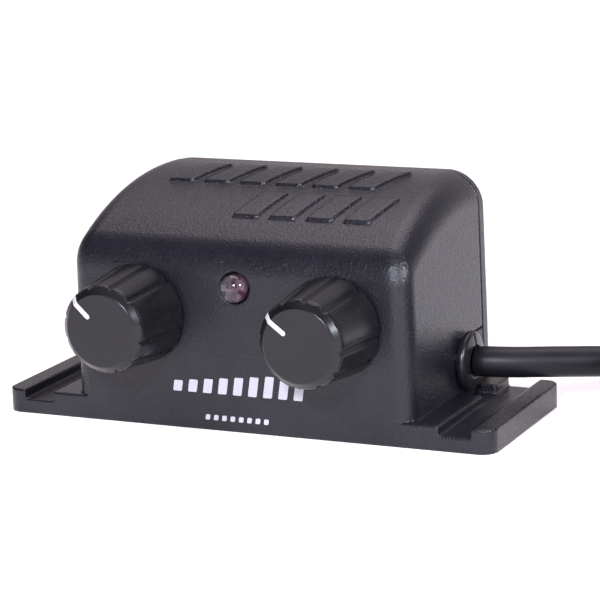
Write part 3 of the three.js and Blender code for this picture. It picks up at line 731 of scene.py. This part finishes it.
def case_field(x, y, z):
    """Hollow body on its base plate, with raised bars, screw posts and the holes."""
    sides = body_sides(x, y, z)
    shell = round_max(sides, -y, FRONT_ROUND)
    shell = round_max(shell, y - CASE_BACK, BACK_ROUND)
    shell = np.minimum(np.maximum(shell, -z), flange_field(x, y, z))
    shell = smooth_min(shell, bars_field(x, y, z), 0.22)
    cavity = np.maximum(np.maximum(sides + WALL, WALL - y), CHANNEL_FLOOR - z)
    shell = smooth_max(shell, -cavity, 0.4)
    posts = 1e3
    for sx, sz in SCREWS:
        post = np.hypot(x - sx, z - sz) - POST_RADIUS
        # An upper post is joined to the side wall by a rib, a lower one to the base.
        if sz > 20:
            rib = np.maximum(np.abs(z - sz) - 1, np.abs(x - sx - math.copysign(2.4, sx)) - 2.4)
        else:
            rib = np.maximum(np.abs(x - sx) - 1, np.abs(z - 3.6) - 2.6)
        posts = np.minimum(posts, np.minimum(post, rib))
    posts = np.maximum(np.maximum(posts, POST_FRONT - y), y - CASE_BACK)
    shell = np.minimum(shell, posts)
    for sx, sz in SCREWS:
        bore = np.maximum(np.hypot(x - sx, z - sz) - BORE_RADIUS, CASE_BACK - BORE_DEPTH - y)
        shell = np.maximum(shell, -bore)
    for kx in (-KNOB_X, KNOB_X):
        hole = np.maximum(np.hypot(x - kx, z - KNOB_Z) - SHAFT_HOLE, y - HOLE_END)
        shell = smooth_max(shell, -hole, 0.3)
    hole = np.maximum(np.hypot(x, z - LED_Z) - LED_HOLE, y - HOLE_END)
    shell = smooth_max(shell, -hole, 0.25)
    slot = np.hypot(np.minimum(y - GLAND_Y, 0), z - GLAND_Z) - SLOT_RADIUS
    slot = np.maximum(np.maximum(slot, SLOT_INNER - x), x - HALF - 2)
    return smooth_max(shell, -slot, 0.3)


def cover_field(x, y, z):
    """Plate that closes the back, with the tab behind the grommet and four screw holes."""
    inset, gap, tab_half = 0.06, 0.4, 3.45
    sides = np.maximum(body_sides(x, y, z) + inset, gap - z)
    plate = round_max(sides, y - COVER_BACK, 0.45)
    plate = round_max(plate, COVER_FRONT - y, 0.35)
    tab = box_field(x, y, z, (28.4, 27.7, GLAND_Z - tab_half),
                    (30.2, COVER_FRONT + 0.5, GLAND_Z + tab_half), 0.2)
    plate = np.minimum(plate, tab)
    for sx, sz in SCREWS:
        plate = smooth_max(plate, BORE_RADIUS - np.hypot(x - sx, z - sz), 0.25)
    return plate


def screw_field(x, y, z):
    """Pan-head screw along y: seat of the head at y = 0, thread towards -y."""
    pitch, length, arm, slit = 0.9, 9.8, 1.5, 0.32
    r = np.hypot(x, z)
    head = np.maximum(r - 2.7, -y)
    dome = np.sqrt(x * x + z * z + (y + 1.4) ** 2) - 3.3
    head = round_max(head, dome, 0.5)
    thread = r - 1.12 - 0.13 * np.sin(y * 2 * math.pi / pitch + np.arctan2(z, x))
    thread = np.maximum(np.maximum(thread, y - 0.2), -y - length)
    thread = np.maximum(thread, (r - 0.35 + (-y - length) * 0.6) * 0.8)
    cross = np.minimum(np.maximum(np.abs(x) - slit, np.abs(z) - arm),
                       np.maximum(np.abs(z) - slit, np.abs(x) - arm))
    taper = (1.9 - y) * 0.25
    cross = np.maximum(cross + taper, 0.75 - y)
    return smooth_max(np.minimum(head, thread), -cross, 0.12)


case_cell = 0.3
case = skin("case_shell", case_field, (-44.6, -0.8, -0.8), (44.6, 33.0, 40.2), case_cell,
            keep=0.42)
give(case, CASE, "housing", ["front_case"])
cover = skin("cover_plate", cover_field, (-31.4, 27.2, -0.2), (31.4, 35.6, 39.6), case_cell)
give(cover, CASE, "housing", ["back_cover"])
screws = [skin("screw", screw_field, (-3.0, -10.2, -3.0), (3.0, 2.3, 3.0), 0.15)]
for _ in SCREWS[1:]:
    twin = screws[0].copy()
    twin.data = screws[0].data.copy()
    bpy.context.scene.collection.objects.link(twin)
    screws.append(twin)
HEAD_GAP = 0.12
for i, (screw, (sx, sz)) in enumerate(zip(screws, SCREWS), 1):
    screw.data.transform(Matrix.Translation((sx * MM, (COVER_BACK + HEAD_GAP) * MM, sz * MM)))
    screw.name = f"pan_head_screw_{i}"
    give(screw, ZINC, "housing", [f"cover_screw_{i}"])

# ---- grommet ----


def grommet_field(x, y, z):
    """Rubber bushing: domed flange outside the wall, barbed sleeve inside it, split at the top."""
    r = np.hypot(y - GLAND_Y, z - GLAND_Z)
    dome = 32.75 - 0.026 * r * r
    flange = round_max(r - 5.15 + np.maximum(31.9 - x, 0) * 0.35, x - dome, 0.8)
    flange = round_max(flange, 30.85 - x, 0.15)
    sleeve = np.maximum(np.maximum(r - 3.5, 27.0 - x), x - 31.5)
    barb = np.maximum(r - 4.7 + np.maximum(27.6 - x, 0), np.abs(x - 27.5) - 0.5)
    body = np.minimum(np.minimum(flange, sleeve), barb)
    split = np.maximum(np.abs(y - GLAND_Y - 0.1) - 0.26, GLAND_Z - z)
    split = np.maximum(split, np.maximum(31.6 - x, r - 4.6))
    body = smooth_max(body, -split, 0.12)
    return smooth_max(body, CABLE_RADIUS + 0.05 - r, 0.3)


grommet = skin("grommet_bushing", grommet_field, (26.6, 17.6, 3.2), (33.4, 28.7, 14.3), 0.14)
give(grommet, RUBBER, "housing", ["cable_grommet"])

# ---- knobs ----

KNOB_FRONT, KNOB_BACK = -13.5, -0.6
FACE_R, TOP_R, BASE_R, BEVEL = 6.0, 7.2, 8.3, 1.2
TAPER = (BASE_R - TOP_R) / (KNOB_BACK - KNOB_FRONT - BEVEL)
SOCKET_R, SOCKET_END = 3.3, -11.7
GROOVE_HALF, GROOVE_DEPTH = 0.5, 0.42
GROOVE_ANGLES = [start + step for start in (0, 120, 240) for step in (30, 60, 90)]
REST_TURN = {"left": -46.0, "right": -53.0}


def knob_angles():
    """Angles in degrees round the knob, closer together at the grooves."""
    angles = set()
    for i in range(120):
        angles.add(i * 3.0)
    for groove in GROOVE_ANGLES:
        angles = {a for a in angles if abs(a - groove) > 5.0}
        angles |= {groove + k * 0.5 for k in range(-10, 11)}
    return np.array(sorted(a % 360 for a in angles))


def groove_cut(degrees, radius):
    """How far a groove lowers the surface at each angle, with eased lips and root."""
    cut = np.zeros_like(degrees)
    for groove in GROOVE_ANGLES:
        off = (degrees - groove + 180) % 360 - 180
        s = np.abs(np.radians(off)) * radius
        root = np.sqrt(s * s + 0.0064) - 0.08
        slope = GROOVE_DEPTH * (1 - root / GROOVE_HALF)
        cut = np.maximum(cut, (slope + np.sqrt(slope * slope + 0.004)) / 2)
    return cut - cut.min()


def knob_mesh(side):
    """The knob about its own axis: rows of (radius, depth) over all angles, pointer at the top."""
    degrees = knob_angles()
    ones = np.ones_like(degrees)
    cut = groove_cut(degrees, TOP_R)
    rows = [(r * ones, KNOB_FRONT * ones) for r in (1.5, 3.0, 4.5, 5.4, 5.7)]
    # Eased edge between the face and the bevel.
    reach = 0.16
    drop = reach * 0.7
    for t in (0.0, 0.25, 0.5, 0.75, 1.0):
        r, y = FACE_R - reach + (reach + drop) * t, KNOB_FRONT + drop * t * t
        rows.append((r * ones, y * ones))
    # Bevel, then the eased edge between it and the side.
    shoulder_r = TOP_R - cut
    shoulder_y = KNOB_FRONT + (shoulder_r - FACE_R)
    start_r, start_y = FACE_R + drop, KNOB_FRONT + drop
    for t in (0.2, 0.4, 0.6, 0.75, 0.86):
        rows.append((start_r + (shoulder_r - start_r) * t, start_y + (shoulder_y - start_y) * t))
    ease = 0.22
    before = np.array([shoulder_r - ease * 0.7, shoulder_y - ease * 0.7])
    corner = np.array([shoulder_r, shoulder_y])
    after = np.array([shoulder_r + ease * TAPER, shoulder_y + ease])
    for t in (0.0, 0.25, 0.5, 0.75, 1.0):
        r, y = (1 - t) ** 2 * before + 2 * t * (1 - t) * corner + t * t * after
        rows.append((r, y))
    for y in (-11.4, -10.6, -9.4, -8, -6.4, -4.8, -3.2, -1.8, -1.1):
        rows.append((TOP_R - cut + TAPER * (y - KNOB_FRONT - BEVEL), y * ones))
    base = BASE_R - cut
    for r, y in ((base - 0.02, -0.85), (base - 0.1, -0.68), (base - 0.3, KNOB_BACK)):
        rows.append((r, y * ones))
    # Hollow underneath, with the socket for the shaft.
    for r, y in ((6.8, KNOB_BACK), (6.6, -0.75), (6.5, -5.2), (4.6, -5.2), (4.6, -4.6),
                 (3.35, -4.6), (SOCKET_R, -4.7), (SOCKET_R, SOCKET_END)):
        rows.append((r * ones, y * ones))
    points = [(0, KNOB_FRONT, 0)]
    sin, cos = np.sin(np.radians(degrees)), np.cos(np.radians(degrees))
    for r, y in rows:
        points += list(zip(r * sin, y, r * cos))
    points.append((0, SOCKET_END, 0))
    n = len(degrees)
    faces = []
    for row in range(len(rows) - 1):
        for k in range(n):
            a, b = 1 + row * n + k, 1 + row * n + (k + 1) % n
            faces.append((a, b, b + n, a + n))
    last = 1 + (len(rows) - 1) * n
    for k in range(n):
        faces.append((0, 1 + (k + 1) % n, 1 + k))
        faces.append((len(points) - 1, last + k, last + (k + 1) % n))
    return seat_on_axis(f"{side}_knob_fluted", points, faces, side)


def seat_on_axis(name, points, faces, side):
    """A mesh made round the y axis, in mm, turned to its rest angle and put on its joint's axis."""
    joint = JOINTS[f"{side}_control"]
    turn = Matrix.Rotation(math.radians(REST_TURN[side]), 4, "Y")
    place = Vector((joint["pos_m"][0], FRONT_Y, joint["pos_m"][2]))
    return add_mesh(name, [place + turn @ (Vector(p) * MM) for p in points], faces)


def knob_pointer(side):
    """White strip from near the middle of the face over the bevel and a little down the side."""
    half, inner, lift, sink = 0.40, 2.7, 0.035, 0.35
    section = [(-1, -sink), (-1, lift * 0.3), (-0.9, lift), (0, lift), (0.9, lift), (1, lift * 0.3),
               (1, -sink)]
    tip_rows = 4
    line = [(inner + 0.12 * k, 0.0) for k in range(tip_rows)]
    line += [(r, 0.0) for r in (4.2, 5.0, 5.6, 5.84)]
    line += [(5.95, 0.02), (6.1, 0.112), (6.4, 0.4), (6.8, 0.8), (7.04, 1.04), (7.17, 1.22),
             (7.22, 1.42)]
    line += [(TOP_R + TAPER * (d - BEVEL), d) for d in (1.9, 2.4, 2.8, 3.1)]
    points, faces = [], []
    for i, (r, depth) in enumerate(line):
        before, after = line[max(i - 1, 0)], line[min(i + 1, len(line) - 1)]
        dr, dy = after[0] - before[0], after[1] - before[1]
        size = math.hypot(dr, dy)
        out_r, out_y = dy / size, -dr / size
        from_end = r - inner if i < tip_rows else half
        width = half * math.sqrt(max(1 - (1 - min(from_end, half) / half) ** 2, 0.06))
        for w, o in section:
            points.append((w * width, KNOB_FRONT + depth + out_y * o, r + out_r * o))
    n = len(section)
    for i in range(len(line) - 1):
        for k in range(n):
            a, b = i * n + k, i * n + (k + 1) % n
            faces.append((a, b, b + n, a + n))
    faces.append(tuple(range(n - 1, -1, -1)))
    faces.append(tuple(range((len(line) - 1) * n, len(line) * n)))
    return seat_on_axis(f"{side}_pointer_strip", points, faces, side)


for side in ("left", "right"):
    give(knob_mesh(side), KNOB, f"{side}_control", [f"{side}_knob"])
    give(knob_pointer(side), POINTER, f"{side}_control", [f"{side}_knob_pointer"])

# ---- indicator ----

LENS_R, LENS_COLLAR_R, DOME_RISE, DOME_FOOT, LEG_END = 2.38, 2.9, 1.9, -0.2, 11.3

dome = [(0, DOME_FOOT - DOME_RISE)]
dome += [(LENS_R * math.sin(a), DOME_FOOT - DOME_RISE * math.cos(a))
         for a in np.radians(np.arange(6, 91, 6))]
dome += [(LENS_R, 1.0), (LENS_R, 2.35), (LENS_COLLAR_R, 2.4), (LENS_COLLAR_R, 3.3), (0, 3.3)]
lens = lathe("indicator_lens", dome, front_point(0, 0, LED_Z), (0, 1, 0), 64)
give(lens, LENS, "housing", ["status_led"])


def indicator_frame():
    """The two posts inside the lens, one ending in the reflector cup, and the legs behind it."""
    pieces = [
        ((-1.35, 0.9, -0.25), (-0.15, LEG_END, 0.25)), ((-1.6, 0.3, -0.4), (0.1, 1.4, 0.4)),
        ((0.45, 0.9, -0.25), (1.1, LEG_END, 0.25)), ((0.4, 0.2, -0.4), (1.3, 1.0, 0.4)),
    ]
    sides = ((0, 2, 3, 1), (4, 5, 7, 6), (0, 1, 5, 4), (2, 6, 7, 3), (0, 4, 6, 2), (1, 3, 7, 5))
    points, faces = [], []
    for low, high in pieces:
        start = len(points)
        for i in range(8):
            x, y, z = [(high if i >> k & 1 else low)[k] for k in range(3)]
            points.append(front_point(x, y, LED_Z + z))
        faces += [tuple(start + k for k in face) for face in sides]
    leadframe = add_mesh("indicator_leadframe", points, faces)
    bevel = leadframe.modifiers.new("edges", "BEVEL")
    bevel.width, bevel.segments = 0.08 * MM, 2
    apply_modifiers(leadframe)
    return leadframe


give(indicator_frame(), STEEL, "housing", ())

# ---- printed level scale on the front ----


def print_plates():
    """Rising slanted bars over a row of short dashes, as a thin ink layer."""
    shapes = []
    count, left, right, foot = 9, -11.9, 12.6, 6.2
    pitch = (right - left) / count
    for i in range(count):
        height = 1.5 + 2.7 * (i + 1) / count
        shapes.append((left + i * pitch, foot, pitch * 0.58, height))
    count, left, right = 8, -6.2, 5.9
    pitch = (right - left) / count
    for i in range(count):
        shapes.append((left + i * pitch, 1.7, pitch * 0.55, 0.9))
    points, faces = [], []
    lean, corner, back, front = 0.16, 0.2, 0.05, -0.035
    for x, z, width, height in shapes:
        outline = []
        for cx, cz, start in ((1, 0, 270), (1, 1, 0), (0, 1, 90), (0, 0, 180)):
            for k in range(4):
                a = math.radians(start + k * 30)
                px = x + corner + cx * (width - 2 * corner) + corner * math.cos(a)
                pz = z + corner + cz * (height - 2 * corner) + corner * math.sin(a)
                outline.append((px + (pz - z) * lean, pz))
        start, n = len(points), len(outline)
        for y in (back, front):
            points += [front_point(px, y, pz) for px, pz in outline]
        faces.append(tuple(start + k for k in range(n - 1, -1, -1)))
        faces.append(tuple(start + n + k for k in range(n)))
        for k in range(n):
            a, b = start + k, start + (k + 1) % n
            faces.append((a, b, b + n, a + n))
    plates = add_mesh("front_level_scale", points, faces)
    plates.data.shade_flat()
    return plates


give(print_plates(), INK, "housing", ())

# ---- carried-over pieces ----

CARRIED = {
    "connector_insert": INSERT, "circuit_board": BOARD, "amplifier_chip": EPOXY,
    "voltage_regulator": EPOXY, "filter_capacitor": SLEEVE, "output_capacitor": SLEEVE,
    "cable_header": HEADER, "cable_end": JACKET, "core_wire_1": RED_WIRE,
    "core_wire_2": DARK_WIRE, "core_wire_3": WHITE_WIRE, "core_wire_4": GREEN_WIRE,
}
POT_PARTS = {"housing": ZINC, "track": WAFER, "can": ZINC, "wiper": STEEL, "shaft": STEEL,
             "washer": ZINC, "nut": ZINC}
for side in ("left", "right"):
    CARRIED.update({f"{side}_pot_{part}": chosen for part, chosen in POT_PARTS.items()})
for name, chosen in CARRIED.items():
    node = frame["nodes"][name]
    node.data.materials.clear()
    node.data.materials.append(chosen)

# ---- floor, surroundings and lamps ----


def make_floor():
    """Plain pale floor, kept white by a glow that is weakest just behind the unit."""
    made, nodes, links, shader, where = material("pale_floor")
    slow = noise(nodes, links, where, 0.4)
    tone = blended(nodes, links, slow, (0.86, 0.85, 0.86), (0.88, 0.87, 0.88))
    links.new(tone, shader.inputs["Base Color"])
    shader.inputs["Roughness"].default_value = 0.9
    shader.inputs["Specular IOR Level"].default_value = 0.1
    shader.inputs["Emission Color"].default_value = (1.0, 0.89, 0.95, 1)
    split = nodes.new("ShaderNodeSeparateXYZ")
    links.new(where, split.inputs["Vector"])
    near = spread(nodes, links, split.outputs["Y"], 0.66, 0.2, -0.01, 0.06)
    far = spread(nodes, links, split.outputs["Y"], 0.2, 0.9, 0.09, 0.7)
    links.new(greatest(nodes, links, near, far), shader.inputs["Emission Strength"])
    size, level = 3.0, -0.0001
    corners = [(x * size, y * size, level) for x, y in ((-1, -1), (1, -1), (1, 1), (-1, 1))]
    floor = add_mesh("floor", corners, [(0, 1, 2, 3)])
    floor.data.materials.append(made)


def make_world():
    """Bright round the horizon, less so behind and overhead, dark in front above the unit."""
    world = bpy.data.worlds.new("studio")
    bpy.context.scene.world = world
    world.use_nodes = True
    nodes, links = world.node_tree.nodes, world.node_tree.links
    split = nodes.new("ShaderNodeSeparateXYZ")
    links.new(nodes.new("ShaderNodeTexCoord").outputs["Generated"], split.inputs["Vector"])
    overhead = spread(nodes, links, split.outputs["Z"], 0.0, 0.36, 0.70, 0.90)
    behind = spread(nodes, links, split.outputs["Y"], 0.0, 0.62, 0.2, 0.85)
    horizon = spread(nodes, links, split.outputs["Z"], 1.0, 0.0, 0.08, 0.22)
    level = greatest(nodes, links, overhead, behind, horizon)
    colour = blended(nodes, links, level, (0.03, 0.03, 0.038), (1.0, 0.92, 0.96), 0.0, 1.0)
    background = nodes["Background"]
    links.new(colour, background.inputs["Color"])
    background.inputs["Strength"].default_value = 0.9


def lamp(name, azimuth, elevation, distance, size, power, colour):
    """Square soft light aimed at the unit, at an azimuth from the front towards the right."""
    a, e = math.radians(azimuth), math.radians(elevation)
    direction = Vector((math.sin(a) * math.cos(e), -math.cos(a) * math.cos(e), math.sin(e)))
    data = bpy.data.lights.new(name, "AREA")
    data.shape = "SQUARE"
    data.size = size
    data.energy = power
    data.color = colour
    light = bpy.data.objects.new(name, data)
    light.location = LIT_POINT + direction * distance
    light.rotation_euler = direction.to_track_quat("Z", "Y").to_euler()
    bpy.context.scene.collection.objects.link(light)


LIT_POINT = Vector((0, 0, 0.018))
make_floor()
make_world()
lamp("lamp_near_left", 13, 26, 0.9, 0.11, 8.5, (0.84, 0.88, 1.0))
lamp("lamp_near_right", 66, 24, 0.9, 0.10, 8.0, (0.88, 0.92, 1.0))
lamp("softbox_top", 200, 72, 1.0, 0.75, 6.0, (1.0, 0.90, 0.96))
bpy.context.scene.view_settings.view_transform = "Standard"
